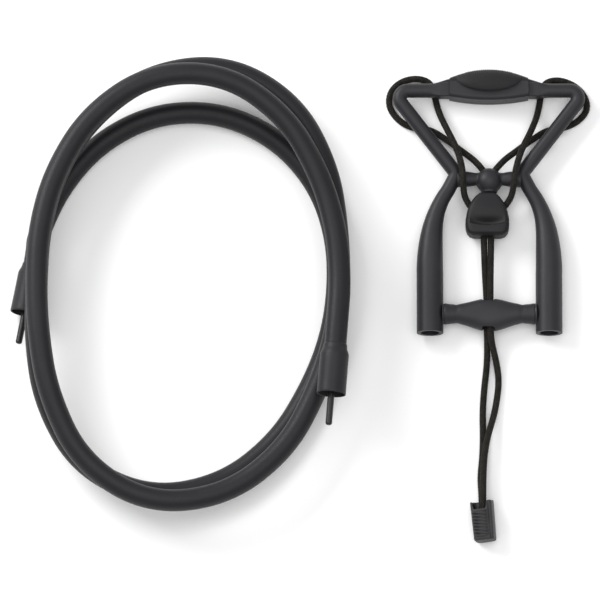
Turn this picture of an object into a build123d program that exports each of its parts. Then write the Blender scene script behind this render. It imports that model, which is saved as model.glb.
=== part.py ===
from build123d import *
import math
import os

# Antenna kit for a bicycle: a moulded yoke that is lashed to the front of the
# bicycle with shock cord, and a coiled, rubber-covered hoop rod whose two ends
# plug into the yoke's legs. Both lie flat on the floor, z = 0. X runs to the
# right, Y runs from the leg mouths towards the top pad, Z points up.
# Millimetres. The origin is on the floor under the middle of the yoke.

# ---- driving dimensions -------------------------------------------------
ORIGIN_UP = 80.0               # the origin's height above the leg mouths
GAP = 0.3                      # clearance between pieces that move apart

LEG_RADIUS = 8.0
LEG_X = 35.7                   # each leg's distance from the middle
LEG_STRAIGHT = 36.3
LEG_Z = LEG_RADIUS             # the legs lie on the floor
BORE_RADIUS = 5.6              # open mouth of a leg
BORE_DEPTH = 44.0
BUSH_INSET = 8.0               # bush below the leg's mouth
BUSH_LENGTH = 30.0
BUSH_LEAD_IN = 0.8
SOCKET_RADIUS = 2.1            # hole for the hoop's core rod

TUBE_RADIUS = 4.3              # arms and top bar
TUBE_Z = 8.6                   # leaves room for the shock cord underneath
ELBOW = (19.5, 97.8)           # where flare and arm meet, above the mouths
CORNER = (58.7, 149.5)         # where arm and top bar meet
ELBOW_BEND = 5.0
CORNER_BEND = 5.0
BAR_UP = CORNER[1]
BAR_ROUND_END = 36.0           # the bar turns square between these two
BAR_SQUARE_START = 29.5
SEAM_X = 23.9                  # joint between a rail and the cradle
BLOCK_HEIGHT = 8.6
BLOCK_DEPTH = 9.0
BLOCK_ROUND = 0.8
RAMP_RISE = 2.6                # the bar's upper face climbs to the pad
RAMP_START = 33.0
RAMP_SINK = 0.3                # the ramp starts inside the bar
RAMP_DEPTH = 5.4
DOWEL_CLEARANCE = 0.4

# Flare of a leg: height above the mouth, distance from the middle, radius.
FLARE = [
    (LEG_STRAIGHT, LEG_X, LEG_RADIUS),
    (51.0, 35.4, 7.5),
    (62.0, 34.4, 6.5),
    (72.5, 32.2, 5.3),
    (81.0, 28.8, 4.6),
    (88.1, 24.6, TUBE_RADIUS),
]

CRADLE_BOTTOM = 4.6            # cradle's belly below the bar's centre line
CRADLE_SAG = 2.5
CRADLE_TOP = 4.3
CRADLE_ROUND = 2.4
CRADLE_DEPTH = 15.9            # from the floor to the flat front
PIN_RADIUS = 1.5
PIN_LENGTH = 14.0
PAD_HALF_WIDTH = 22.6
PAD_RISE = 7.7                 # height of the crown in the middle
LENS_HALF_WIDTH = 18.6
LENS_HALF_HEIGHT = 6.3
LENS_HEIGHT = 4.0
LENS_ROUND = 1.7
PAD_SHOULDER = 2.6             # height of the crown at its two ends
PAD_SCREW = (10.0, 2.0)        # distance from the middle, height above the bar's line
SCREW_HEAD_RADIUS = 1.5
SCREW_RADIUS = 1.1
SCREW_HEAD = (2.0, 4.0)        # the head sits sunk in the cradle's back
SCREW_BITE = 2.0               # length of the screw in the pad

WAIST_UP = 94.7
WAIST_ARM = 3.9
WAIST_NECK = 3.3
WAIST_REACH = 20.0
WAIST_THIN_FROM = 13.0         # the bridge thins between these two
WAIST_THIN_TO = 9.4
BALL_RADIUS = 7.0
NECK_RADIUS = 4.5
NECK_END = 86.2
LOWER_UP = 11.7
LOWER_ARM = 5.8
LOZENGE_REACH = {-1: 10.3, 1: 9.3}   # the lozenge's lower and upper heights
LOWER_DEPTH = 14.0
LOWER_ROUND = 5.0
LOWER_REACH = 30.0             # the bridge runs into the legs
LOWER_SWELL_FROM = 22.0        # the lozenge starts to swell here
LOWER_SHOULDER = (11.0, 7.6)
CORD_SLOT = (9.6, 9.2)         # width and depth of the cords' slot
CORD_SLOT_X = -0.6
CORD_SLOT_ROUND = 2.5

LOCK_X = -1.2
LOCK_TOP = 85.8
LOCK_BOTTOM = 58.6
LOCK_HALF_WIDTH = 13.1
LOCK_FLOOR = 1.4
LOCK_SPLIT = 9.8               # the cords run along this height
LEVER_FRONT = 16.6
LEVER_TOP = 76.0               # the front slopes up to the hinge from here
DISH_TOP = 73.0
DISH_MIDDLE = 69.6
DISH_DEPTH = 2.6
LEDGE_TOP = 68.2
LEDGE_BOTTOM = 62.0
LEDGE_FRONT = 17.2             # the ledge stands a little proud of the front
LEVER_CHIN = (59.4, 15.0)
LEVER_FOOT = (57.6, 12.0)
LEVER_SPAN = 30.0              # cut down to the lock's outline afterwards
HINGE_UP = 82.3
HINGE_Z = 12.0
BARREL_RADIUS = 3.4
EAR_RADIUS = 2.2
EAR_SWING = 3.0                # room for the ear as the lever opens
LOCK_PIN_RADIUS = 1.0
PIN_FIT = 0.05                 # the lever turns on the pin
SPRING_RADIUS = 1.7
SPRING_WIRE = 0.25
SPRING_PITCH = 0.62
SPRING_LENGTH = 1.7
SPRING_FROM = 0.4              # start of the spring, right of the lock's middle
EAR_LENGTH = 2.2
EAR_STEM = 4.8
PIN_REACH = 5.4                # half the hinge pin's length
LOCK_REACH = 9.0               # half the width that the hinge is cut through
BASE_INSET = 0.5               # the back half is this much smaller all round
BASE_ROUND = 1.6

CORD_RADIUS = 2.0
CHANNEL_RADIUS = 2.25
SMALLEST_BEND = 2 * CORD_RADIUS

TAB_TOP = (-4.7, -103.6)       # where the cords go into the cord end
TAB_LEAN = 5.0
TAB_ROLL = 12.5
TAB_WIDTH = 12.9
TAB_LENGTH = 23.8
TAB_DEPTH = 11.0
TAB_WALL = 1.2
KNOT_DEPTH = 8.0
RIBS = 8
RIB_PITCH = 2.5
RIB_FIRST = 4.2                # the first rib below the cord end's top
RIB_HEIGHT = 0.5
TAB_ROUND = 1.4
KNOT_WIDTH = 6.4

HOSE_RADIUS = 6.6
CUFF_RADIUS = 8.75
CUFF_BORE = 8.1
CUFF_LENGTH = 29.0
CUFF_SHOULDER = 5.0
CUFF_DEPTH = 20.0
CORE_RADIUS = 2.0
CORE_STICK_OUT = 19.0
COIL_CENTRE = (-180.9, 26.8)   # distance from the middle, height above the mouths
COIL_SIDE = 89.7               # half-axes of the coil's rings, to the hose's middle
COIL_TOP = 133.1
COIL_BOTTOM = 134.5
COIL_INNER_TOP = 109.3
COIL_INNER_BOTTOM = 127.4
COIL_HEIGHT = 44.4

# Where the cuffs start and the way that they point, in the same measures.
RIGHT_CUFF_BACK = (-92.7, -15.6, 39.2)
RIGHT_CUFF_MOUTH = (-95.1, -44.6, 39.2)
LEFT_CUFF_BACK = (-273.4, 40.3, CUFF_RADIUS)
LEFT_CUFF_MOUTH = (-278.9, 11.8, CUFF_RADIUS)

# Shock cord routes: distance from the middle, height above the mouths, z.
LEFT_CORNER = [
    (-32.7, 148.5, 2.0), (-34.1, 155.5, 2.0), (-42.2, 159.4, 2.0),
    (-52.2, 157.4, 2.0), (-59.4, 150.6, 2.0), (-60.4, 141.2, 2.0),
    (-54.6, 133.6, 2.0), (-46.2, 129.1, 2.0), (-35.6, 127.6, 2.0),
    (-26.0, 121.0, 2.6), (-16.6, 112.9, 5.6), (-8.07, 105.85, 8.6),
    (-4.4, 101.1, 8.6),
]
RIGHT_CORNER = [
    (31.4, 148.5, 2.0), (32.4, 155.2, 2.0), (40.8, 158.2, 2.0),
    (51.0, 155.0, 2.0), (58.0, 148.0, 2.0), (59.8, 139.4, 2.0),
    (54.2, 132.6, 2.0), (45.4, 128.5, 2.0), (35.4, 127.2, 2.0),
    (26.0, 120.6, 2.6), (16.6, 112.8, 5.6), (8.07, 105.85, 8.6),
    (4.4, 101.1, 8.6),
]
BALL_TURN = [(-4.4, 101.1, 8.6), (0.0, 95.4, 8.6), (4.4, 101.1, 8.6)]
LEFT_STRAND = [
    (-32.7, 148.5, 2.0), (-30.8, 139.0, 2.0), (-25.9, 126.6, 9.0),
    (-19.8, 113.6, 13.4), (-16.2, 101.0, 15.2), (-15.4, 90.6, 15.0),
    (-14.6, 82.2, 11.6), (-10.6, 75.6, LOCK_SPLIT),
    (-5.4, 69.0, LOCK_SPLIT), (-3.9, 63.4, LOCK_SPLIT),
    (-3.9, LOCK_BOTTOM, LOCK_SPLIT),
]
RIGHT_STRAND = [
    (31.4, 148.5, 2.0), (29.6, 138.2, 2.0), (24.7, 124.6, 9.0),
    (19.0, 112.0, 13.4), (16.1, 100.6, 15.2), (14.6, 90.2, 15.0),
    (12.8, 81.8, 11.6), (8.2, 75.6, LOCK_SPLIT),
    (3.0, 69.0, LOCK_SPLIT), (1.5, 63.4, LOCK_SPLIT),
    (1.5, LOCK_BOTTOM, LOCK_SPLIT),
]
LEFT_TAIL = [
    (-3.9, LOCK_BOTTOM, LOCK_SPLIT), (-3.9, 48.6, LOCK_SPLIT), (-3.2, 36.0, 7.6),
    (-2.2, 21.0, 6.2), (-1.9, 6.0, 6.0), (-1.3, -6.0, 4.6),
    (-1.2, -19.0, 2.0), (-2.8, -33.0, 2.0), (-3.9, -48.0, 2.0),
    (-3.6, -62.0, 2.0), (-3.9, -75.0, 2.2), (-5.0, -87.0, 3.2),
    (-4.8, -97.0, 4.5), (-4.4, -108.8, 4.75),
]
RIGHT_TAIL = [
    (1.5, LOCK_BOTTOM, LOCK_SPLIT), (1.5, 48.6, LOCK_SPLIT), (0.9, 36.0, 10.2),
    (0.6, 21.0, 10.4), (0.5, 6.0, 10.2), (0.9, -5.0, 8.4),
    (3.8, -16.0, 3.6), (5.2, -28.0, 2.0), (3.6, -41.0, 2.0),
    (1.4, -52.0, 3.4), (-1.3, -62.0, 6.0), (-3.2, -74.0, 6.8),
    (-3.6, -86.0, 7.6), (-4.0, -97.0, 8.6), (-4.0, -108.8, 8.8),
]


# ---- helpers ------------------------------------------------------------
def at(x, up, z):
    """A point given by its height above the leg mouths."""
    return (x, up - ORIGIN_UP, z)


def along_y(x, up, z):
    """A plane across Y at that point, facing +Y."""
    return Plane(origin=at(x, up, z), x_dir=(1, 0, 0), z_dir=(0, 1, 0))


def along_x(x, up, z):
    """A plane across X at that point, facing +X."""
    return Plane(origin=at(x, up, z), x_dir=(0, 1, 0), z_dir=(1, 0, 0))


def flat(up, z):
    """A plane parallel to the floor, with its origin on the middle line."""
    return Plane.XY.offset(z).shift_origin(at(0, up, z))


def finish(builder, label):
    builder.part.label = label
    export_step(builder.part, f"parts/{label}.step")


def bend_radii(points):
    """The largest arc that the two runs beside each corner allow."""
    radii = []
    for before, corner, after in zip(points, points[1:], points[2:]):
        run_in = Vector(*corner) - Vector(*before)
        run_out = Vector(*after) - Vector(*corner)
        half_turn = math.radians(run_in.get_angle(run_out)) / 2
        shorter = min(run_in.length, run_out.length)
        radii.append(0.45 * shorter / math.tan(half_turn))
    return radii


def tube(route, radius, label):
    """A round cord along straight runs joined by tangent arcs."""
    points = [at(*point) for point in route]
    radii = bend_radii(points)
    with BuildPart() as cord:
        with BuildLine() as path:
            FilletPolyline(*points, radius=radii)
        with BuildSketch(Plane(path.line @ 0, z_dir=path.line % 0)):
            Circle(radius)
        sweep()
    length = sum(edge.length for edge in path.edges())
    ratio = cord.part.volume / (math.pi * radius**2 * length)
    print(f"{label}: length {length:.1f}, volume ratio {ratio:.4f}, "
          f"bends {[round(value, 1) for value in radii]}")
    return cord


# ---- yoke ---------------------------------------------------------------
def make_rail(side, name):
    """One moulded rail: leg, flare, elbow, arm, corner and bar end."""
    flare_rise = FLARE[-1][0] - FLARE[0][0]
    with BuildPart() as rail:
        with BuildSketch(along_y(side * LEG_X, 0, LEG_Z)):
            Circle(LEG_RADIUS)
        extrude(amount=LEG_STRAIGHT)
        for index, (up, x, radius) in enumerate(FLARE):
            below = FLARE[max(index - 1, 0)]
            above = FLARE[index + 1] if index + 1 < len(FLARE) else (*ELBOW[::-1], 0)
            share = (up - FLARE[0][0]) / flare_rise
            lean = (side * (above[1] - below[1]), above[0] - below[0], 0)
            if index == 0:
                lean = (0, 1, 0)
            if index + 1 == len(FLARE):
                lean = (side * (ELBOW[0] - x), ELBOW[1] - up, 0)
            centre = at(side * x, up, LEG_Z + share * (TUBE_Z - LEG_Z))
            with BuildSketch(Plane(origin=centre, x_dir=(0, 0, 1), z_dir=lean)):
                Circle(radius)
        loft()
        with BuildLine() as spine:
            FilletPolyline(
                at(side * FLARE[-1][1], FLARE[-1][0], TUBE_Z),
                at(side * ELBOW[0], ELBOW[1], TUBE_Z),
                at(side * CORNER[0], CORNER[1], TUBE_Z),
                at(side * BAR_ROUND_END, BAR_UP, TUBE_Z),
                radius=[ELBOW_BEND, CORNER_BEND],
            )
        with BuildSketch(Plane(spine.line @ 0, z_dir=spine.line % 0)):
            Circle(TUBE_RADIUS)
        sweep(path=spine.line)
        with BuildSketch(along_x(side * BAR_ROUND_END, BAR_UP, TUBE_Z)):
            Circle(TUBE_RADIUS)
        with BuildSketch(along_x(side * BAR_SQUARE_START, BAR_UP, TUBE_Z)):
            RectangleRounded(BLOCK_HEIGHT, BLOCK_DEPTH, BLOCK_ROUND)
        loft()
        with BuildSketch(along_x(side * BAR_SQUARE_START, BAR_UP, TUBE_Z)):
            RectangleRounded(BLOCK_HEIGHT, BLOCK_DEPTH, BLOCK_ROUND)
        extrude(amount=-side * (BAR_SQUARE_START - SEAM_X))
        with BuildSketch(flat(BAR_UP, TUBE_Z - BLOCK_DEPTH / 2 + BLOCK_ROUND)):
            with BuildLine():
                Polyline(
                    (side * SEAM_X, 0),
                    (side * RAMP_START, 0),
                    (side * RAMP_START, BLOCK_HEIGHT / 2 - RAMP_SINK),
                    (side * SEAM_X, BLOCK_HEIGHT / 2 + RAMP_RISE),
                    close=True,
                )
            make_face()
        extrude(amount=RAMP_DEPTH)
        with BuildSketch(along_y(side * LEG_X, 0, LEG_Z)):
            Circle(BORE_RADIUS)
        extrude(amount=BORE_DEPTH, mode=Mode.SUBTRACT)
        with BuildSketch(along_x(side * (SEAM_X + PIN_LENGTH / 2), BAR_UP, TUBE_Z)):
            Circle(PIN_RADIUS)
        extrude(amount=-side * PIN_LENGTH, mode=Mode.SUBTRACT)
    finish(rail, name)
    return rail


def make_bush(side, name):
    """Bush pressed into a leg, with the hole for the hoop's core rod."""
    with BuildPart() as bush:
        with BuildSketch(along_y(side * LEG_X, BUSH_INSET, LEG_Z)):
            Circle(BORE_RADIUS)
            Circle(SOCKET_RADIUS, mode=Mode.SUBTRACT)
        extrude(amount=BUSH_LENGTH)
        chamfer(bush.edges().group_by(Axis.Y)[0].sort_by(SortBy.RADIUS)[0], BUSH_LEAD_IN)
    finish(bush, name)


def make_cradle():
    """Middle block of the top bar that carries the rubber pad."""
    half = SEAM_X - GAP / 2
    with BuildPart() as cradle:
        with BuildSketch(flat(BAR_UP, 0)):
            with BuildLine():
                Line((-half, -CRADLE_BOTTOM), (-half, CRADLE_TOP))
                Line((-half, CRADLE_TOP), (half, CRADLE_TOP))
                Line((half, CRADLE_TOP), (half, -CRADLE_BOTTOM))
                ThreePointArc(
                    (half, -CRADLE_BOTTOM),
                    (0, -CRADLE_BOTTOM - CRADLE_SAG),
                    (-half, -CRADLE_BOTTOM),
                )
            make_face()
        extrude(amount=CRADLE_DEPTH)
        belly = cradle.edges().filter_by(GeomType.CIRCLE)
        fillet(belly, CRADLE_ROUND)
        for side in (-1, 1):
            with BuildSketch(along_x(side * (SEAM_X + PIN_LENGTH / 2), BAR_UP, TUBE_Z)):
                Circle(PIN_RADIUS)
            extrude(amount=-side * PIN_LENGTH, mode=Mode.SUBTRACT)
            with BuildSketch(flat(BAR_UP, 0)):
                with Locations((side * PAD_SCREW[0], PAD_SCREW[1])):
                    Circle(SCREW_HEAD_RADIUS)
            extrude(amount=SCREW_HEAD[1], mode=Mode.SUBTRACT)
            with BuildSketch(flat(BAR_UP, 0)):
                with Locations((side * PAD_SCREW[0], PAD_SCREW[1])):
                    Circle(SCREW_RADIUS)
            extrude(amount=CRADLE_DEPTH, mode=Mode.SUBTRACT)
    finish(cradle, "top_cradle")


def make_pad():
    """Soft pad: an arched crown on the cradle and a lens on its front."""
    base = CRADLE_TOP
    shoulder = base + PAD_SHOULDER
    with BuildPart() as pad:
        with BuildSketch(flat(BAR_UP, 0)):
            with BuildLine():
                Line((-PAD_HALF_WIDTH, base), (PAD_HALF_WIDTH, base))
                Line((PAD_HALF_WIDTH, base), (PAD_HALF_WIDTH, shoulder))
                ThreePointArc(
                    (PAD_HALF_WIDTH, shoulder),
                    (0, base + PAD_RISE),
                    (-PAD_HALF_WIDTH, shoulder),
                )
                Line((-PAD_HALF_WIDTH, shoulder), (-PAD_HALF_WIDTH, base))
            make_face()
        extrude(amount=CRADLE_DEPTH)
        with BuildSketch(flat(BAR_UP + base, CRADLE_DEPTH)):
            Ellipse(LENS_HALF_WIDTH, LENS_HALF_HEIGHT)
        extrude(amount=LENS_HEIGHT)
        top = pad.faces().sort_by(Axis.Z)[-1]
        fillet(top.edges(), LENS_ROUND)
        for side in (-1, 1):
            with BuildSketch(flat(BAR_UP, CRADLE_DEPTH)):
                with Locations((side * PAD_SCREW[0], PAD_SCREW[1])):
                    Circle(SCREW_RADIUS)
            extrude(amount=SCREW_BITE, mode=Mode.SUBTRACT)
    finish(pad, "top_pad")


def make_seam_pins():
    """Steel dowels that carry the cradle between the two rails."""
    start = SEAM_X + PIN_LENGTH / 2 - DOWEL_CLEARANCE
    with BuildPart() as pins:
        for side in (-1, 1):
            with BuildSketch(along_x(side * start, BAR_UP, TUBE_Z)):
                Circle(PIN_RADIUS)
            extrude(amount=-side * (PIN_LENGTH - 2 * DOWEL_CLEARANCE))
    finish(pins, "seam_pins")


def make_pad_screws():
    """Two screws from the cradle's back into the pad."""
    low, high = SCREW_HEAD
    with BuildPart() as screws:
        for side in (-1, 1):
            with BuildSketch(flat(BAR_UP, low)):
                with Locations((side * PAD_SCREW[0], PAD_SCREW[1])):
                    Circle(SCREW_HEAD_RADIUS)
            extrude(amount=high - low)
            with BuildSketch(flat(BAR_UP, high)):
                with Locations((side * PAD_SCREW[0], PAD_SCREW[1])):
                    Circle(SCREW_RADIUS)
            extrude(amount=CRADLE_DEPTH - high + SCREW_BITE)
    finish(screws, "pad_screws")


def make_waist_bridge(rails):
    """Thin bridge at the elbows, with the ball that holds the cord's bend."""
    with BuildPart() as bridge:
        with BuildSketch(flat(WAIST_UP, TUBE_Z)):
            with BuildLine():
                Polyline(
                    (-WAIST_REACH, 0),
                    (-WAIST_REACH, WAIST_ARM),
                    (-WAIST_THIN_FROM, WAIST_ARM),
                    (-WAIST_THIN_TO, WAIST_NECK),
                    (WAIST_THIN_TO, WAIST_NECK),
                    (WAIST_THIN_FROM, WAIST_ARM),
                    (WAIST_REACH, WAIST_ARM),
                    (WAIST_REACH, 0),
                    close=True,
                )
            make_face()
        revolve(axis=Axis(at(0, WAIST_UP, TUBE_Z), (1, 0, 0)))
        for rail in rails:
            add(rail.part, mode=Mode.SUBTRACT)
        with Locations(at(0, WAIST_UP, TUBE_Z)):
            Sphere(BALL_RADIUS)
        with BuildSketch(along_y(0, WAIST_UP, TUBE_Z)):
            Circle(NECK_RADIUS)
        extrude(amount=NECK_END - WAIST_UP)
        turn = [at(*point) for point in BALL_TURN]
        with BuildLine() as path:
            FilletPolyline(*turn, radius=SMALLEST_BEND)
        with BuildSketch(Plane(path.line @ 0, z_dir=path.line % 0)) as section:
            Circle(CHANNEL_RADIUS)
        sweep(section.sketch, path=path.line, mode=Mode.SUBTRACT)
    finish(bridge, "waist_bridge")


def make_lower_bridge(rails):
    """Lozenge-shaped bridge between the legs, with the cord's slot."""
    with BuildPart() as bridge:
        with BuildSketch(flat(LOWER_UP, LEG_Z - LOWER_DEPTH / 2)):
            with BuildLine():
                for side in (-1, 1):
                    arm = side * LOWER_ARM
                    Line((-LOWER_REACH, arm), (-LOWER_SWELL_FROM, arm))
                    Spline(
                        (-LOWER_SWELL_FROM, arm),
                        (-LOWER_SHOULDER[0], side * LOWER_SHOULDER[1]),
                        (0, side * LOZENGE_REACH[side]),
                        (LOWER_SHOULDER[0], side * LOWER_SHOULDER[1]),
                        (LOWER_SWELL_FROM, arm),
                        tangents=[(1, 0), (1, 0)],
                    )
                    Line((LOWER_SWELL_FROM, arm), (LOWER_REACH, arm))
                Line((-LOWER_REACH, -LOWER_ARM), (-LOWER_REACH, LOWER_ARM))
                Line((LOWER_REACH, -LOWER_ARM), (LOWER_REACH, LOWER_ARM))
            make_face()
        extrude(amount=LOWER_DEPTH)
        rims = bridge.edges().filter_by(Plane.XY).filter_by(
            lambda edge: abs(edge.center().X) < LOWER_REACH - 1
        )
        fillet(rims, LOWER_ROUND)
        for rail in rails:
            add(rail.part, mode=Mode.SUBTRACT)
        for side in (-1, 1):
            with BuildSketch(along_y(side * LEG_X, 0, LEG_Z)):
                Circle(LEG_RADIUS)
            extrude(amount=LEG_STRAIGHT, mode=Mode.SUBTRACT)
        with BuildSketch(along_y(CORD_SLOT_X, 0, LEG_Z)):
            RectangleRounded(*CORD_SLOT, CORD_SLOT_ROUND)
        extrude(amount=LEG_STRAIGHT, mode=Mode.SUBTRACT)
    finish(bridge, "lower_bridge")


# ---- cord lock ----------------------------------------------------------
def shield_outline(grow):
    """Outline of the lock, round at the top and widest low down."""
    width = LOCK_HALF_WIDTH + grow
    top = LOCK_TOP + grow
    bottom = LOCK_BOTTOM - grow
    low = LOCK_BOTTOM + 9.0
    with BuildLine() as outline:
        Spline(
            (LOCK_X, top),
            (LOCK_X + 0.72 * width, top - 7.0),
            (LOCK_X + width, low + 1.5),
            tangents=[(1, 0), (0, -1)],
        )
        Spline(
            (LOCK_X + width, low + 1.5),
            (LOCK_X + 0.84 * width, bottom + 3.2),
            (LOCK_X + 0.5 * width, bottom + 0.4),
            (LOCK_X, bottom),
            tangents=[(0, -1), (-1, 0)],
        )
        mirror(about=Plane.YZ.offset(LOCK_X))
    make_face(outline.line)


def cut_cord_channels():
    """Room for both cords through the lock."""
    for route in (LEFT_STRAND, RIGHT_STRAND):
        below = (route[-1][0], LOCK_BOTTOM - 4, LOCK_SPLIT)
        points = [at(*point) for point in (*route[5:-1], below)]
        with BuildLine() as path:
            FilletPolyline(*points, radius=bend_radii(points))
        with BuildSketch(Plane(path.line @ 0, z_dir=path.line % 0)) as section:
            Circle(CHANNEL_RADIUS)
        sweep(section.sketch, path=path.line, mode=Mode.SUBTRACT)


def make_lock_base():
    """Back half of the lock, with the hinge's ear."""
    ground = Plane.XY.offset(LOCK_FLOOR).shift_origin(at(0, 0, LOCK_FLOOR))
    with BuildPart() as base:
        with BuildSketch(ground):
            shield_outline(-BASE_INSET)
        extrude(amount=LOCK_SPLIT - GAP / 2 - LOCK_FLOOR)
        fillet(base.faces().sort_by(Axis.Z)[0].edges(), BASE_ROUND)
        with BuildSketch(along_x(LOCK_X - LOCK_REACH, HINGE_UP, HINGE_Z)):
            Circle(BARREL_RADIUS + GAP)
        extrude(amount=2 * LOCK_REACH, mode=Mode.SUBTRACT)
        with BuildSketch(along_x(LOCK_X - EAR_LENGTH, HINGE_UP, HINGE_Z)):
            Circle(EAR_RADIUS)
            with Locations((0, -EAR_STEM / 2)):
                Rectangle(2 * EAR_RADIUS, EAR_STEM)
            Circle(LOCK_PIN_RADIUS, mode=Mode.SUBTRACT)
        extrude(amount=EAR_LENGTH)
        cut_cord_channels()
    finish(base, "lock_base")


def make_lock_lever():
    """Front half of the lock: a thumb lever with a dish and a ledge."""
    ground = Plane.XY.offset(LOCK_SPLIT - 4).shift_origin(at(0, 0, LOCK_SPLIT - 4))
    under = LOCK_SPLIT + GAP / 2
    with BuildPart() as lever:
        with BuildSketch(along_x(LOCK_X - LEVER_SPAN / 2, 0, 0)):
            with BuildLine():
                Line((LOCK_BOTTOM - 1, under), (HINGE_UP - BARREL_RADIUS, under))
                Line((HINGE_UP - BARREL_RADIUS, under), (HINGE_UP, HINGE_Z - BARREL_RADIUS))
                ThreePointArc(
                    (HINGE_UP, HINGE_Z - BARREL_RADIUS),
                    (HINGE_UP + BARREL_RADIUS, HINGE_Z),
                    (HINGE_UP, HINGE_Z + BARREL_RADIUS),
                )
                Line((HINGE_UP, HINGE_Z + BARREL_RADIUS), (LEVER_TOP, LEVER_FRONT))
                Line((LEVER_TOP, LEVER_FRONT), (DISH_TOP, LEVER_FRONT))
                ThreePointArc(
                    (DISH_TOP, LEVER_FRONT),
                    (DISH_MIDDLE, LEVER_FRONT - DISH_DEPTH),
                    (LEDGE_TOP, LEDGE_FRONT),
                )
                Line((LEDGE_TOP, LEDGE_FRONT), (LEDGE_BOTTOM, LEDGE_FRONT))
                ThreePointArc((LEDGE_BOTTOM, LEDGE_FRONT), LEVER_CHIN, LEVER_FOOT)
                Line(LEVER_FOOT, (LOCK_BOTTOM - 1, under))
            make_face()
        extrude(amount=LEVER_SPAN)
        with BuildSketch(ground):
            shield_outline(0)
        extrude(amount=LEVER_SPAN, mode=Mode.INTERSECT)
        with BuildSketch(along_x(LOCK_X - EAR_LENGTH - GAP, HINGE_UP, HINGE_Z)):
            Circle(EAR_RADIUS + GAP)
            with Locations((EAR_SWING / 2, -3)):
                Rectangle(2 * (EAR_RADIUS + GAP) + EAR_SWING, 6)
        extrude(amount=2 * (EAR_LENGTH + GAP), mode=Mode.SUBTRACT)
        with BuildSketch(along_x(LOCK_X - LOCK_REACH, HINGE_UP, HINGE_Z)):
            Circle(LOCK_PIN_RADIUS + PIN_FIT)
        extrude(amount=2 * LOCK_REACH, mode=Mode.SUBTRACT)
        cut_cord_channels()
    finish(lever, "lock_lever")


def make_lock_pin():
    """Steel hinge pin of the lever."""
    with BuildPart() as pin:
        with BuildSketch(along_x(LOCK_X - PIN_REACH, HINGE_UP, HINGE_Z)):
            Circle(LOCK_PIN_RADIUS)
        extrude(amount=2 * PIN_REACH)
    finish(pin, "lock_pin")


def make_lock_spring():
    """Torsion spring round the pin, beside the ear."""
    with BuildPart() as spring:
        with BuildLine() as coil:
            Helix(
                pitch=SPRING_PITCH,
                height=SPRING_LENGTH,
                radius=SPRING_RADIUS,
                center=at(LOCK_X + SPRING_FROM, HINGE_UP, HINGE_Z),
                direction=(1, 0, 0),
            )
        with BuildSketch(Plane(coil.line @ 0, z_dir=coil.line % 0)):
            Circle(SPRING_WIRE)
        sweep(path=coil.line, is_frenet=True)
    finish(spring, "lock_spring")


# ---- cord end -----------------------------------------------------------
def tab_plane(down, out):
    """A plane facing the cord end's front, below its top and out of its middle."""
    lean = math.radians(TAB_LEAN)
    roll = math.radians(TAB_ROLL)
    down_way = Vector(math.sin(lean), -math.cos(lean), 0)
    side_way = Vector(-math.cos(lean), -math.sin(lean), 0)
    front = side_way * math.sin(roll) + Vector(0, 0, math.cos(roll))
    across = (down_way * -1).cross(front)
    middle_z = TAB_DEPTH / 2 * math.cos(roll) + TAB_WIDTH / 2 * math.sin(roll)
    origin = Vector(*at(TAB_TOP[0], TAB_TOP[1], middle_z)) + down_way * down + front * out
    return Plane(origin=origin, x_dir=across, z_dir=front)


def make_tab_half(front, name):
    """One half of the cord end, hollow inside, ribbed on the front."""
    inner = GAP / 2 if front else -GAP / 2
    direction = 1 if front else -1
    with BuildPart() as half:
        with BuildSketch(tab_plane(TAB_LENGTH / 2, inner)):
            RectangleRounded(TAB_WIDTH, TAB_LENGTH, TAB_ROUND)
        extrude(amount=direction * (TAB_DEPTH / 2 - GAP / 2 - (RIB_HEIGHT if front else 0)))
        if front:
            for number in range(RIBS):
                down = RIB_FIRST + number * RIB_PITCH
                with BuildSketch(tab_plane(down, TAB_DEPTH / 2 - RIB_HEIGHT)):
                    with Locations((-1.0, 0)):
                        Rectangle(TAB_WIDTH - 2.8, RIB_PITCH * 0.55)
                extrude(amount=RIB_HEIGHT)
        with BuildSketch(tab_plane(TAB_LENGTH / 2 - 1.0, 0)):
            Rectangle(TAB_WIDTH - 2 * TAB_WALL, TAB_LENGTH - 2.0)
        extrude(amount=direction * (TAB_DEPTH / 2 - TAB_WALL), mode=Mode.SUBTRACT)
    finish(half, name)


def make_knot():
    """Both cord ends, melted into one lump inside the cord end."""
    with BuildPart() as knot:
        with BuildSketch(tab_plane(TAB_LENGTH / 2 + 1.6, -KNOT_DEPTH / 2)):
            RectangleRounded(KNOT_WIDTH, TAB_LENGTH - KNOT_DEPTH, 2.4)
        extrude(amount=KNOT_DEPTH)
        fillet(knot.edges().filter_by(GeomType.LINE), 1.2)
    finish(knot, "cord_knot")


# ---- hoop ---------------------------------------------------------------
def oval(right, top, bottom):
    """Half an ellipse above the coil's middle and half an ellipse below it."""
    with BuildLine() as outline:
        EllipticalCenterArc((0, 0), right, top, start_angle=0, arc_size=180)
        EllipticalCenterArc((0, 0), right, bottom, start_angle=180, arc_size=180)
    make_face(outline.line)


def cuff_plane(back, mouth, along):
    """A plane across a cuff, facing its mouth."""
    start = Vector(*at(*back))
    way = (Vector(*at(*mouth)) - start).normalized()
    return Plane(origin=start + way * along, z_dir=way)


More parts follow.
